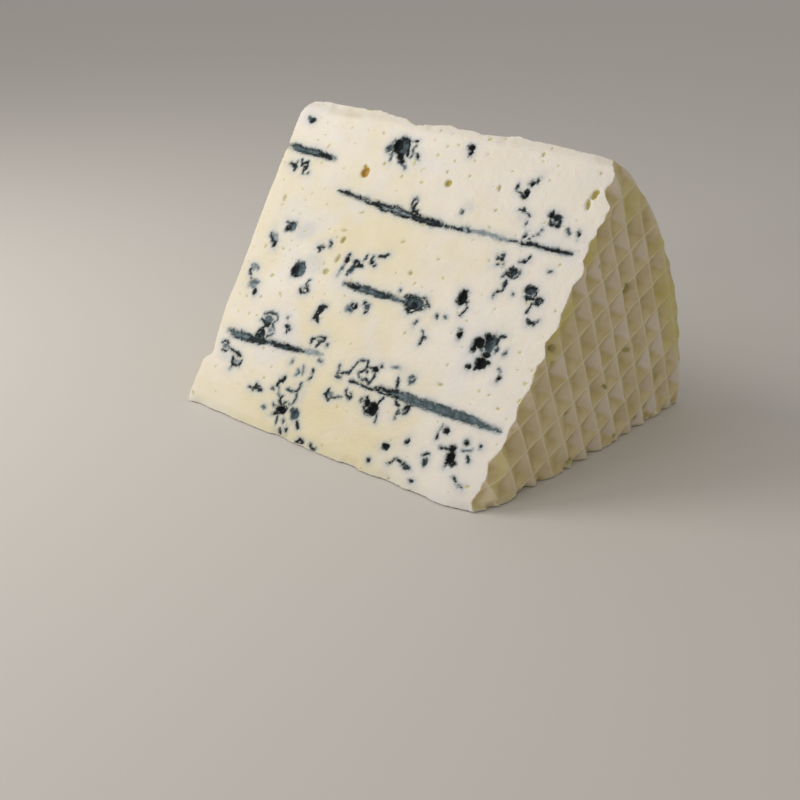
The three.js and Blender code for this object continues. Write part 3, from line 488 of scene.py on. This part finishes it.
# Whey holes of the upper cut: place, width, height, turn in degrees, depth, how ochre
WHEY_HOLES = [
    (-23.2, 83.2, 2.8, 3.4, 15, 1.3, 1.0), (-24.2, 85.0, 1.0, 1.2, 0, 0.6, 0.7),
    (8.3, 85.3, 2.6, 2.2, 0, 1.0, 0.55), (55.4, 90.6, 1.8, 3.0, -12, 1.1, 0.45),
    (54.6, 87.6, 1.6, 3.2, 20, 1.0, 0.35), (-20.6, 61.5, 1.7, 2.3, 0, 0.8, 0.3),
    (-19.8, 55.8, 1.3, 3.1, -10, 0.7, 0.15), (-22.0, 51.0, 2.5, 1.9, 30, 0.6, 0.2),
    (-21.8, 64.5, 2.6, 0.9, 10, 0.4, 0.2), (-18.0, 71.0, 2.2, 0.8, 25, 0.4, 0.2),
    (-22.5, 96.3, 1.0, 0.9, 0, 0.4, 0.3), (-17.3, 87.0, 0.9, 1.4, 0, 0.4, 0.3),
    (-9.0, 84.3, 0.9, 1.1, 0, 0.4, 0.3), (-42.0, 54.0, 1.2, 0.8, 0, 0.4, 0.2),
    (25.5, 87.0, 1.0, 2.2, 25, 0.6, 0.25), (27.5, 80.6, 0.8, 1.3, -20, 0.4, 0.2),
    (0.5, 92.6, 0.9, 0.9, 0, 0.4, 0.4), (6.3, 88.5, 0.9, 1.2, 0, 0.4, 0.3),
    (14.4, 88.6, 0.8, 1.1, 0, 0.4, 0.3), (17.4, 96.0, 0.9, 0.8, 0, 0.4, 0.3),
    (35.2, 98.9, 1.0, 1.6, -20, 0.5, 0.3), (1.2, 65.5, 1.8, 0.8, 20, 0.4, 0.2),
    (8.3, 57.3, 1.4, 1.2, 0, 0.5, 0.3), (32.8, 30.0, 1.9, 0.9, 10, 0.5, 0.25),
    (49.0, 31.5, 1.1, 0.8, 0, 0.4, 0.3), (53.0, 28.8, 1.2, 0.9, 0, 0.4, 0.3),
    (-42.0, 45.0, 1.0, 1.3, 0, 0.4, 0.2), (-42.6, 37.8, 0.9, 1.2, 0, 0.4, 0.2),
    (-50.0, 69.7, 1.1, 2.4, 10, 0.5, 0.0),
]
# Where the paste of either cut is most open: the middle, then how far it reaches each way
OPEN_PASTE = (-41, 57, 13, 15)


def hash_pair(i, j, seed):
    """Two random numbers from 0 to 1 for each whole-number pair (i, j)."""
    key = (i.astype(np.int64) * 374761393 + j.astype(np.int64) * 668265263 + seed * 69069) & 0x7FFFFFFF
    key = (key ^ (key >> 13)) * 1274126177 & 0x7FFFFFFF
    key = (key ^ (key >> 15)) * 1103515245 & 0x7FFFFFFF
    return (key & 0x7FFF) / 32767.0, (key >> 15 & 0x7FFF) / 32767.0


def specks(a, b, size, seed, share):
    """Pin-prick holes: one grain in each square of a grid, kept for the given share of squares, as
    1 - q where q is the distance from it over its own radius. Each is drawn out its own way."""
    i, j = np.floor(a / size), np.floor(b / size)
    u, v = hash_pair(i, j, seed)
    keep, wide = hash_pair(i, j, seed + 77)
    radius = (0.28 + 0.40 * wide) * min(1, size / 3.4) * np.where(keep < share, 1, 0.001)
    turn = 6.3 * keep / share
    off_a, off_b = a / size - i - 0.25 - 0.5 * u, b / size - j - 0.25 - 0.5 * v
    long, short = off_a * np.cos(turn) + off_b * np.sin(turn), off_b * np.cos(turn) - off_a * np.sin(turn)
    return 1 - np.clip(np.hypot(long * (1 - 0.45 * v), short * 1.3) * size / radius, 0, 3)


def whey(a, b, holes, seed):
    """The whey holes at (a, b): how far inside their edge, how deep, and how ochre."""
    wa = a + 0.3 * curd_noise(a, b, 0, 1.8, seed, 2)
    wb = b + 0.3 * curd_noise(a, b, 5, 1.8, seed + 1, 2)
    edge, deep, ochre = np.full(a.shape, -2.0), np.zeros(a.shape), np.full(a.shape, 0.2)
    for at_a, at_b, wide, high, turn, depth, stain in holes:
        inside = part_edge(wa, wb, at_a, at_b, wide, high, turn)
        share = np.clip(2 * inside / min(wide, high), 0, 1)
        ochre = np.where(inside > edge, stain, ochre)
        edge = np.maximum(edge, inside)
        deep = np.maximum(deep, depth * np.sqrt(share * (2 - share)))
    tiny = specks(a, b, 4.3, seed + 4, 0.24)
    at_a, at_b, wide, high = OPEN_PASTE
    crowd = 0.03 + 0.55 * np.exp(-(((a - at_a) / wide) ** 2) - ((b - at_b) / high) ** 2)
    tiny = np.maximum(tiny, specks(a, b, 2.4, seed + 9, crowd))
    return np.maximum(edge, 0.3 * tiny), np.maximum(deep, 0.32 * np.clip(tiny, 0, 1)), ochre


def knife_drag(a, b, seed):
    """The blade's faint waves across the cut, and the paste's own grain, in mm."""
    wave = 0.32 * curd_noise(a, b, 0, 34, seed, 2) + 0.10 * curd_noise(a * 0.35, b, 4, 5.5, seed + 1, 2)
    return wave + 0.05 * curd_noise(a, b, 8, 1.3, seed + 2, 2)


def upper_cut(x, s):
    """How far the upper cut stands out of its plane at x and s, the distance up the slope from the
    thin edge: the drag, less the hollows, less what crumbled off the thin edge and the top."""
    deep = mould(x, s, BLOTS, THREADS, CHANNELS, GROOVES, 11)[3]
    holes = whey(x, s, WHEY_HOLES, 41)[1]
    tip = (0.4 + 0.9 * ramp(curd_noise(x, 0, 0, 7, 33, 3), -0.2, 0.6)) * ramp(s, 3.5, 0.0)
    corner = 2.0 * ramp(s, 9, 0) * ramp(x, 47, 60)
    crest = 0.8 * ramp(s, WHEEL_RADIUS - 3.5, WHEEL_RADIUS + 2) ** 2
    ledge = 0.7 * ramp(curd_noise(x, 3, 0, 9, 35, 2), 0.1, 0.5) * ramp(s, WHEEL_RADIUS - 2.2, WHEEL_RADIUS)
    return knife_drag(x, s, 21) - deep - holes - tip - corner - crest - ledge


rng = np.random.default_rng(7)
LOWER_BLOTS = [
    (a, b, wide, wide * share, turn, soot)
    for a, b, wide, share, turn, soot in zip(
        rng.uniform(-52, 54, 60), rng.uniform(6, 96, 60), rng.uniform(2, 6, 60),
        rng.uniform(0.6, 1.3, 60), rng.uniform(-40, 40, 60), rng.uniform(0.3, 1.0, 60),
    )
]
LOWER_CHANNELS = [(0.5, (-56, 30, 0.4, -20, 31, 1.1, 20, 31, 0.4)), (0.6, (-20, 62, 0.5, 56, 60, 0.9))]
LOWER_GROOVES = [(-56, 30, 20, 31, 1.1, 0.8), (-20, 62, 56, 60, 1.1, 0.8), (-54, 84, -10, 83, 1.1, 0.8)]


def lower_cut(x, y):
    """The lower cut's height above the board at (x, y): flat, with the hollows opening upwards."""
    deep = mould(x, y, LOWER_BLOTS, [], LOWER_CHANNELS, LOWER_GROOVES, 211)[3]
    return 0.02 + 0.7 * deep + 0.03 * curd_noise(x, y, 0, 9, 251, 2)


# ---- The wedge -----------------------------------------------------------------------------
# One piece of cheese. Each of its five faces is worked as a finely gridded block that reaches past
# its neighbours, and the wedge is what all five blocks share, so flats and cuts meet in true edges.


def slab(name, face, inward, reach):
    """A closed block with one worked face: the face's border is carried along the inward direction
    on to a flat back, at the given reach along that direction."""
    rows, columns = face.shape[:2]
    index = np.arange(rows * columns).reshape(rows, columns)
    border = np.concatenate([index[0, :-1], index[:-1, -1], index[-1, :0:-1], index[:0:-1, 0]])
    points = face.reshape(-1, 3)
    inward = np.asarray(inward, float) / np.linalg.norm(inward)
    rim = points[border]
    back = rim + np.outer(reach - rim @ inward, inward)
    quads = np.stack([index[:-1, :-1], index[1:, :-1], index[1:, 1:], index[:-1, 1:]], -1)
    lid = len(points) + np.arange(len(border))
    walls = np.stack([border, np.roll(border, -1), np.roll(lid, -1), lid], -1)
    faces = quads.reshape(-1, 4).tolist() + walls.tolist() + [lid.tolist()]
    mesh = bpy.data.meshes.new(name)
    mesh.from_pydata(np.concatenate([points, back]), [], faces)
    shell = bmesh.new()
    shell.from_mesh(mesh)
    bmesh.ops.recalc_face_normals(shell, faces=shell.faces)
    shell.to_mesh(mesh)
    shell.free()
    block = bpy.data.objects.new(name, mesh)
    bpy.context.collection.objects.link(block)
    return block


def grid(first, second, spacing):
    """Two arrays of a grid's coordinates over the two spans, at most the given spacing apart."""
    u = np.linspace(*first, int((first[1] - first[0]) / spacing) + 1)
    v = np.linspace(*second, int((second[1] - second[0]) / spacing) + 1)
    return np.meshgrid(u, v, indexing="ij")


SLOPE = np.array([0, cos(SLICE), sin(SLICE)])
OUT_OF_CUT = np.array([0, -sin(SLICE), cos(SLICE)])

# Each grid reaches a few mm past the faces beside it. The last number is its spacing, finest where
# the veins are.
x, s = grid((-64, 65), (-5, 107), 0.45)
upper = x[..., None] * [1, 0, 0] + s[..., None] * SLOPE + upper_cut(x, s)[..., None] * OUT_OF_CUT
x, y = grid((-64, 65), (-6, 107), 2.0)
lower = np.stack([x, y, lower_cut(x, y)], -1)
y, z = grid((-5, 106), (-4, 88), 0.52)
right = np.stack([right_flat(y, z), y, z], -1)
y, z = grid((-5, 106), (-4, 88), 0.95)
left = np.stack([left_flat(y, z), y, z], -1)
x, arc = grid((-65, 66), (-13, 109), 1.25)
bearing = arc / WHEEL_RADIUS
r = rind_radius(x, bearing)
rind = np.stack([x, r * np.cos(bearing), r * np.sin(bearing)], -1)

wedge = slab("veined_wedge", upper, -OUT_OF_CUT, 130)
blocks = [
    slab("lower cut", lower, (0, 0, 1), 130),
    slab("right flat", right, (-1, 0, 0), 80),
    slab("left flat", left, (1, 0, 0), 80),
    slab("rind", rind, (0, -cos(SLICE / 2), -sin(SLICE / 2)), 60),
]
for block in blocks:
    share = wedge.modifiers.new(block.name, "BOOLEAN")
    share.operation = "INTERSECT"
    share.solver = "MANIFOLD"
    share.object = block
shared = bpy.data.meshes.new_from_object(wedge.evaluated_get(bpy.context.evaluated_depsgraph_get()))
wedge.modifiers.clear()
wedge.data = shared
shared.name = "veined_wedge"
for block in blocks:
    bpy.data.objects.remove(block)

# Which face each point of the wedge lies on: the one whose worked surface it is nearest to
place = np.empty(len(shared.vertices) * 3)
shared.vertices.foreach_get("co", place)
place = place.reshape(-1, 3)
x, y, z = place.T
s, out = place @ SLOPE, place @ OUT_OF_CUT
round_arc = np.arctan2(z, y) * WHEEL_RADIUS
radius = np.hypot(y, z)
off = np.stack([
    np.abs(out - upper_cut(x, s)),
    np.abs(z - lower_cut(x, y)),
    np.abs(x - right_flat(y, z)),
    np.abs(x - left_flat(y, z)),
    np.abs(radius - rind_radius(x, round_arc / WHEEL_RADIUS)),
])
ON_UPPER, ON_LOWER, ON_RIGHT, ON_LEFT, ON_RIND = range(5)
face_of = np.argmin(off, axis=0)

# The mould, the whey holes, the skin and the ripeness of the paste, as values at every point
vein, soot, tint = np.full(len(x), -3.0), np.zeros(len(x)), np.zeros(len(x))
hole, ochre, skin = np.full(len(x), -2.0), np.zeros(len(x)), np.zeros(len(x))
along, across, rib = np.zeros(len(x)), np.zeros(len(x)), np.zeros(len(x))
for face, (a, b), parts, holes, hole_seed in (
    (ON_UPPER, (x, s), (BLOTS, THREADS, CHANNELS, GROOVES, 11), WHEY_HOLES, 41),
    (ON_LOWER, (x, y), (LOWER_BLOTS, [], LOWER_CHANNELS, LOWER_GROOVES, 211), [], 241),
):
    here = face_of == face
    vein[here], soot[here], tint[here], _ = mould(a[here], b[here], *parts)
    hole[here], _, ochre[here] = whey(a[here], b[here], holes, hole_seed)
for face, (a, b), seed, holes in (
    (ON_RIGHT, (y, z), 3, RIGHT_HOLES), (ON_LEFT, (-y, z), 83, LEFT_HOLES),
):
    here = face_of == face
    along[here], across[here] = mat_lines(a[here], b[here], seed)
    rib[here] = skin[here] = 1
    hole[here] = ball_pits(y[here], z[here], holes) * 0.6 - 0.25
    ochre[here] = 0.3
here = face_of == ON_RIND
along[here], across[here] = mat_lines(-x[here], round_arc[here], 57)
# The print's painted light and shade shows on the rind at 0.4 of its strength
rib[here] = 0.4
skin[here] = 1
grey = curd_noise(x[here], round_arc[here], 50, 13, 305, 4)
vein[here] = -1.6 + 1.9 * ramp(grey, 0.16, 0.62)
tint[here] = ramp(grey, 0.0, 0.5)
soot[here] = 0.3

# Ripeness and painted glow: straw-coloured patches down the middle of the upper cut, and on the
# skin a glow painted where it is thin, as of light shining through, along the rims and beside the
# upper cut
ripe_and_glow = ramp(curd_noise(x, y, z, 30, 401, 3), -0.15, 0.5)
painted_glow = ramp(radius, WHEEL_RADIUS - 18, WHEEL_RADIUS - 1) * ramp(curd_noise(x, y, z, 13, 411, 2), -0.25, 0.35)
painted_glow_near_cut = ramp(np.abs(out), 9, 0) * ramp(curd_noise(x, y, z, 9, 421, 2), -0.1, 0.4)
straw = 0.65 * np.exp(-(((x + 4) / 26) ** 2)) * ramp(s, 104, 66)
straw += 0.45 * ramp(s, 26, 4) * ramp(x, 34, 4) - 0.35 * ramp(x, 20, 50)
ripe_and_glow = np.clip(0.45 * ripe_and_glow + np.where(face_of == ON_UPPER, straw, 0.4), 0, 1)
# On the skin the values are the painted glow alone
ripe_and_glow = np.where(skin > 0, np.clip(painted_glow + painted_glow_near_cut, 0, 1), ripe_and_glow)
# On the rind the painted glow is faint, stronger towards the flats' rims
ripe_and_glow = np.where(face_of == ON_RIND, (0.18 + 0.62 * ramp(np.abs(x), 40, 60)) * ripe_and_glow, ripe_and_glow)

# The edges between faces lose their razor sharpness: points beside an edge move half way to the
# middle of their neighbours, three times
ends = np.empty(len(shared.edges) * 2, int)
shared.edges.foreach_get("vertices", ends)
one, other = ends.reshape(-1, 2).T
crossing = face_of[one] != face_of[other]
beside = np.zeros(len(x), bool)
beside[one[crossing]] = beside[other[crossing]] = True
rib[beside] = 0
for _ in range(3):
    sums, count = np.zeros_like(place), np.zeros(len(x))
    np.add.at(sums, one, place[other])
    np.add.at(sums, other, place[one])
    np.add.at(count, ends, 1)
    middle = sums / count[:, None]
    place = np.where(beside[:, None], 0.5 * place + 0.5 * middle, place)
place[:, 2] = np.maximum(place[:, 2], 0)

# Set down in metres, with the box's middle over the origin
place = (place - [0, WHEEL_RADIUS / 2, 0]) / 1000
shared.vertices.foreach_set("co", place.ravel())
for name, values in (
    ("vein", vein), ("soot", soot), ("tint", tint), ("hole", hole), ("ochre", ochre),
    ("skin", skin), ("rib", rib), ("along", along), ("across", across), ("ripe_and_glow", ripe_and_glow),
):
    attribute = shared.attributes.new(name, "FLOAT", "POINT")
    attribute.data.foreach_set("value", values.astype(np.float32))
shared.materials.clear()
shared.shade_smooth()
shared.set_sharp_from_angle(angle=radians(65))
shared.update()

# The paste: cream where it is young, straw where it is ripe, tinted blue beside the mould. Fine
# noise eats into the mould's edge, as its threads do. Pin-pricks and small whey holes are olive.
cheese = bpy.data.materials.new("blue cheese paste")
cheese.use_nodes = True
nodes, links = cheese.node_tree.nodes, cheese.node_tree.links
paste = nodes["Principled BSDF"]
where = nodes.new("ShaderNodeTexCoord")


def value_of(name):
    """A point value painted on the mesh."""
    node = nodes.new("ShaderNodeAttribute")
    node.attribute_name = name
    return node.outputs["Fac"]


def noise(scale, detail=3.0, roughness=0.55):
    """Noise with its features the given number of metres across."""
    node = nodes.new("ShaderNodeTexNoise")
    node.inputs["Scale"].default_value = 1 / scale
    node.inputs["Detail"].default_value = detail
    node.inputs["Roughness"].default_value = roughness
    links.new(where.outputs["Object"], node.inputs["Vector"])
    return node.outputs["Fac"]


def plug(value, socket):
    """A link or a plain number into a socket."""
    if isinstance(value, bpy.types.NodeSocket):
        links.new(value, socket)
    else:
        socket.default_value = value


def maths(kind, a, b=0.0, c=0.0, clamp=False):
    """One sum of up to three values."""
    node = nodes.new("ShaderNodeMath")
    node.operation = kind
    node.use_clamp = clamp
    for value, socket in zip((a, b, c), node.inputs):
        plug(value, socket)
    return node.outputs[0]


def between(value, low, high):
    """0 below low and 1 above high, with a smooth step between."""
    node = nodes.new("ShaderNodeMapRange")
    node.interpolation_type = "SMOOTHSTEP"
    plug(value, node.inputs["Value"])
    node.inputs["From Min"].default_value = low
    node.inputs["From Max"].default_value = high
    return node.outputs["Result"]


def blend(share, first, second):
    """Two colours mixed by a share."""
    node = nodes.new("ShaderNodeMix")
    node.data_type = "RGBA"
    plug(share, node.inputs["Factor"])
    for value, socket in ((first, node.inputs[6]), (second, node.inputs[7])):
        plug(value if isinstance(value, bpy.types.NodeSocket) else screen_colour(*value), socket)
    return node.outputs[2]


def screen_colour(red, green, blue):
    """A colour given as it looks on a screen, from 0 to 255, as linear light."""
    share = np.array([red, green, blue]) / 255
    return (*np.where(share <= 0.04045, share / 12.92, ((share + 0.055) / 1.055) ** 2.4), 1.0)


def steps(value, *colours):
    """A colour that runs through the given ones, evenly spaced from 0 to 1."""
    node = nodes.new("ShaderNodeValToRGB")
    plug(value, node.inputs["Fac"])
    stops = node.color_ramp.elements
    for _ in colours[2:]:
        stops.new(0.5)
    for number, colour in enumerate(colours):
        stops[number].position = number / (len(colours) - 1)
        stops[number].color = screen_colour(*colour)
    return node.outputs["Color"]


def to_line(name, pitch):
    """How far, in mm, the nearest rib of one direction is: half a cell less the distance from the
    cell's middle, times the pitch."""
    off_middle = maths("ABSOLUTE", maths("SUBTRACT", maths("FRACT", value_of(name)), 0.5))
    return maths("MULTIPLY", maths("SUBTRACT", 0.5, off_middle), pitch)


fine = noise(0.0009, 3, 0.65)
crumb = maths("MULTIPLY_ADD", noise(0.0024, 2, 0.6), 0.9, -0.45)
edge = maths("ADD", maths("ADD", value_of("vein"), crumb), maths("MULTIPLY_ADD", fine, 1.6, -0.8))
is_mould = between(edge, -0.22, 0.32)
is_young = between(edge, -0.85, 0.05)
is_hole = between(maths("MULTIPLY_ADD", fine, 0.3, maths("ADD", value_of("hole"), -0.15)), -0.10, 0.14)
to_rib = maths("MINIMUM", to_line("along", PITCH_ALONG), to_line("across", PITCH_ACROSS))

mottle = maths("MULTIPLY_ADD", noise(0.009, 4), 0.7, maths("MULTIPLY", value_of("ripe_and_glow"), 0.75))
cream = blend(between(mottle, 0.28, 1.2), (238, 231, 219), (229, 218, 180))
cream = blend(maths("MULTIPLY", between(noise(0.021, 2), 0.50, 0.72), 0.6), cream, (228, 224, 222))
cream = blend(maths("MULTIPLY", between(noise(0.0016, 2, 0.7), 0.62, 0.76), 0.25), cream, (212, 205, 172))

# The crust of the printed faces, with the print's light and shade painted into its colour: deeper
# in colour on the pits' floors as painted shade, pale along the ribs' crests as a painted highlight,
# and with one facet of each four-sided pit painted paler as painted light, in some pits by chance
# more than in others
# How much of the print's painted light and shade is laid on: all of it on the flats, less on the rind, none
# beside the edges
in_print = value_of("rib")
cell_u, cell_v = (maths("SUBTRACT", maths("FRACT", value_of(name)), 0.5) for name in ("along", "across"))
# Painted light: one facet of each four-sided pit, paler as if lit
painted_lit_facet = between(maths("SUBTRACT", cell_u, maths("ABSOLUTE", cell_v)), -0.20, 0.10)
painted_lit_facet = maths("MULTIPLY", painted_lit_facet, in_print)
cell = nodes.new("ShaderNodeCombineXYZ")
links.new(maths("FLOOR", value_of("along")), cell.inputs["X"])
links.new(maths("FLOOR", value_of("across")), cell.inputs["Y"])
chance = nodes.new("ShaderNodeTexWhiteNoise")
links.new(cell.outputs["Vector"], chance.inputs["Vector"])
chance = chance.outputs["Value"]
crust = blend(between(noise(0.006, 3), 0.35, 0.7), (226, 210, 164), (212, 193, 138))
# Painted shade: the pits' floors deeper in colour
painted_pit_shade = maths("MULTIPLY", between(to_rib, 1.2, 3.3), maths("MULTIPLY", in_print, 0.5))
crust = blend(painted_pit_shade, crust, (197, 177, 104))
# Painted light on one facet of each pit, stronger in some pits by chance
crust = blend(maths("MULTIPLY", painted_lit_facet, 0.30), crust, (238, 227, 216))
painted_light_by_chance = maths("MULTIPLY", painted_lit_facet, between(chance, 0.35, 0.95))
crust = blend(maths("MULTIPLY", painted_light_by_chance, 0.50), crust, (250, 240, 240))
# Painted highlight along the ribs' crests
painted_crest_highlight = maths("MULTIPLY", between(to_rib, 0.36, 0.04), maths("MULTIPLY", in_print, 0.75))
crust = blend(painted_crest_highlight, crust, (240, 232, 208))
# Painted glow: yellow-green where light would shine through the thin skin
crust = blend(maths("MULTIPLY", value_of("ripe_and_glow"), 0.70), crust, (216, 206, 108))
surface = blend(value_of("skin"), cream, crust)
surface = blend(maths("MULTIPLY", value_of("tint"), 0.42), surface, (188, 196, 206))
surface = blend(maths("MULTIPLY", is_young, 0.55), surface, (136, 149, 150))
surface = blend(is_hole, surface, steps(value_of("ochre"), (208, 206, 166), (200, 188, 108), (198, 158, 60)))
rim = maths("MULTIPLY", between(edge, 0.75, 0.1), 0.12)
velvet_mix = maths("MULTIPLY_ADD", noise(0.0016, 3, 0.6), 0.9, -0.40)
velvet_mix = maths("ADD", maths("ADD", value_of("soot"), rim), velvet_mix)
velvet = steps(velvet_mix, (172, 178, 182), (124, 139, 146), (82, 99, 105), (40, 54, 58), (13, 19, 21))
surface = blend(is_mould, surface, velvet)
links.new(surface, paste.inputs["Base Color"])

gloss = maths("MULTIPLY_ADD", noise(0.004, 3), 0.25, 0.30)
gloss = maths("ADD", gloss, maths("MULTIPLY", is_mould, 0.45), clamp=True)
gloss = maths("SUBTRACT", gloss, maths("MULTIPLY", is_hole, 0.15), clamp=True)
links.new(gloss, paste.inputs["Roughness"])
paste.inputs["Subsurface Weight"].default_value = 0.35
paste.inputs["Subsurface Radius"].default_value = (1.0, 0.72, 0.38)
paste.inputs["Subsurface Scale"].default_value = 0.0035
paste.inputs["IOR"].default_value = 1.42
height = maths("MULTIPLY_ADD", noise(0.00045, 2), 0.35, maths("MULTIPLY", noise(0.0018, 3), 0.65))
height = maths("MULTIPLY_ADD", is_mould, -0.8, height)
relief = nodes.new("ShaderNodeBump")
relief.inputs["Strength"].default_value = 0.35
relief.inputs["Distance"].default_value = 0.0005
links.new(height, relief.inputs["Height"])
links.new(relief.outputs["Normal"], paste.inputs["Normal"])
shared.materials.append(cheese)

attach(wedge, "root")
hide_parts("cheese_wedge")

# ---- The room ------------------------------------------------------------------------------
# A pale matt sweep under the wedge, soft studio light from the upper left, and the camera.
BELOW_WEDGE = -0.0003  # keeps the floor and the wedge's underside out of one plane
bpy.ops.mesh.primitive_plane_add(size=6, location=(0, 0, BELOW_WEDGE))
floor = bpy.context.object
floor.name = "floor"
pale = bpy.data.materials.new("pale floor")
pale.use_nodes = True
pale.node_tree.nodes["Principled BSDF"].inputs["Base Color"].default_value = (0.72, 0.69, 0.65, 1)
pale.node_tree.nodes["Principled BSDF"].inputs["Roughness"].default_value = 0.7
floor.data.materials.append(pale)

room = bpy.data.worlds.new("room")
room.use_nodes = True
room.node_tree.nodes["Background"].inputs["Color"].default_value = (1.0, 0.97, 0.93, 1)
room.node_tree.nodes["Background"].inputs["Strength"].default_value = 0.385
bpy.context.scene.world = room
bpy.context.scene.view_settings.view_transform = "Standard"


def soft_box(name, place, aim, size, watts, colour):
    """A square area lamp at a place, facing the aim."""
    lamp = bpy.data.lights.new(name, "AREA")
    lamp.size, lamp.energy, lamp.color = size, watts, colour
    stand = bpy.data.objects.new(name, lamp)
    away = np.array(place, float) - np.array(aim, float)
    stand.location = place
    turn = np.arctan2(away[0], -away[1])
    stand.rotation_euler = (np.arccos(away[2] / np.linalg.norm(away)), 0, turn)
    bpy.context.collection.objects.link(stand)


soft_box("key light", (-0.29, -0.22, 0.31), (-0.02, 0, 0.03), 0.25, 0.92, (1.0, 0.965, 0.915))
soft_box("fill light", (-0.25, -0.95, 0.30), (0, 0, 0.03), 0.30, 1.5, (1.0, 0.97, 0.95))

lens = bpy.data.cameras.new("camera")
lens.sensor_width, lens.lens = 36, 58.96
camera = bpy.data.objects.new("camera", lens)
camera.location = (0.24164, -0.28266, 0.16227)
AZIMUTH, ELEVATION = 41.81, 23.65
camera.rotation_euler = (radians(90 - ELEVATION), 0, radians(AZIMUTH))
bpy.context.collection.objects.link(camera)
bpy.context.scene.camera = camera
